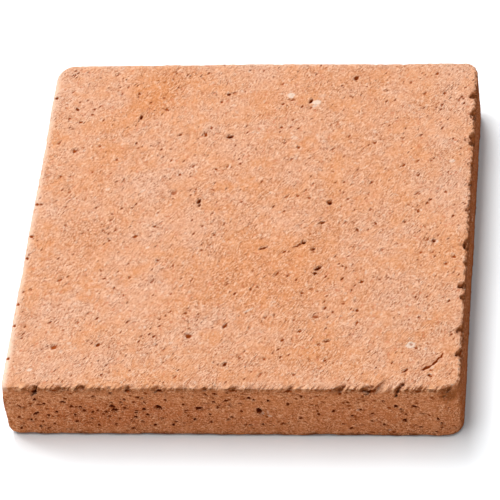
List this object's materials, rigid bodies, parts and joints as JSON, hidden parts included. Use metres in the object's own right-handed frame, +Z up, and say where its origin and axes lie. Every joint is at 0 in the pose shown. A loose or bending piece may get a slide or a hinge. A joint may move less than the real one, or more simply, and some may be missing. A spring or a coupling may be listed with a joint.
{
  "type": "terracotta floor tile",
  "caption": "Thick square hand-made floor tile of fired terracotta with soft corners, a pitted wearing face and chipped front and right arrises, laid flat on its bed face.",
  "frame": {"origin": "middle of the bed face, on the floor", "axes": "+X to the right along the front edge, +Y to the back edge, +Z up through the wearing face"},
  "size_m": [0.2, 0.2, 0.0325],
  "materials": {
    "terracotta": "matte, unglazed and pitted"
  },
  "bodies": {
    "root": {"floor_tile": "terracotta"}
  },
  "joints": []
}
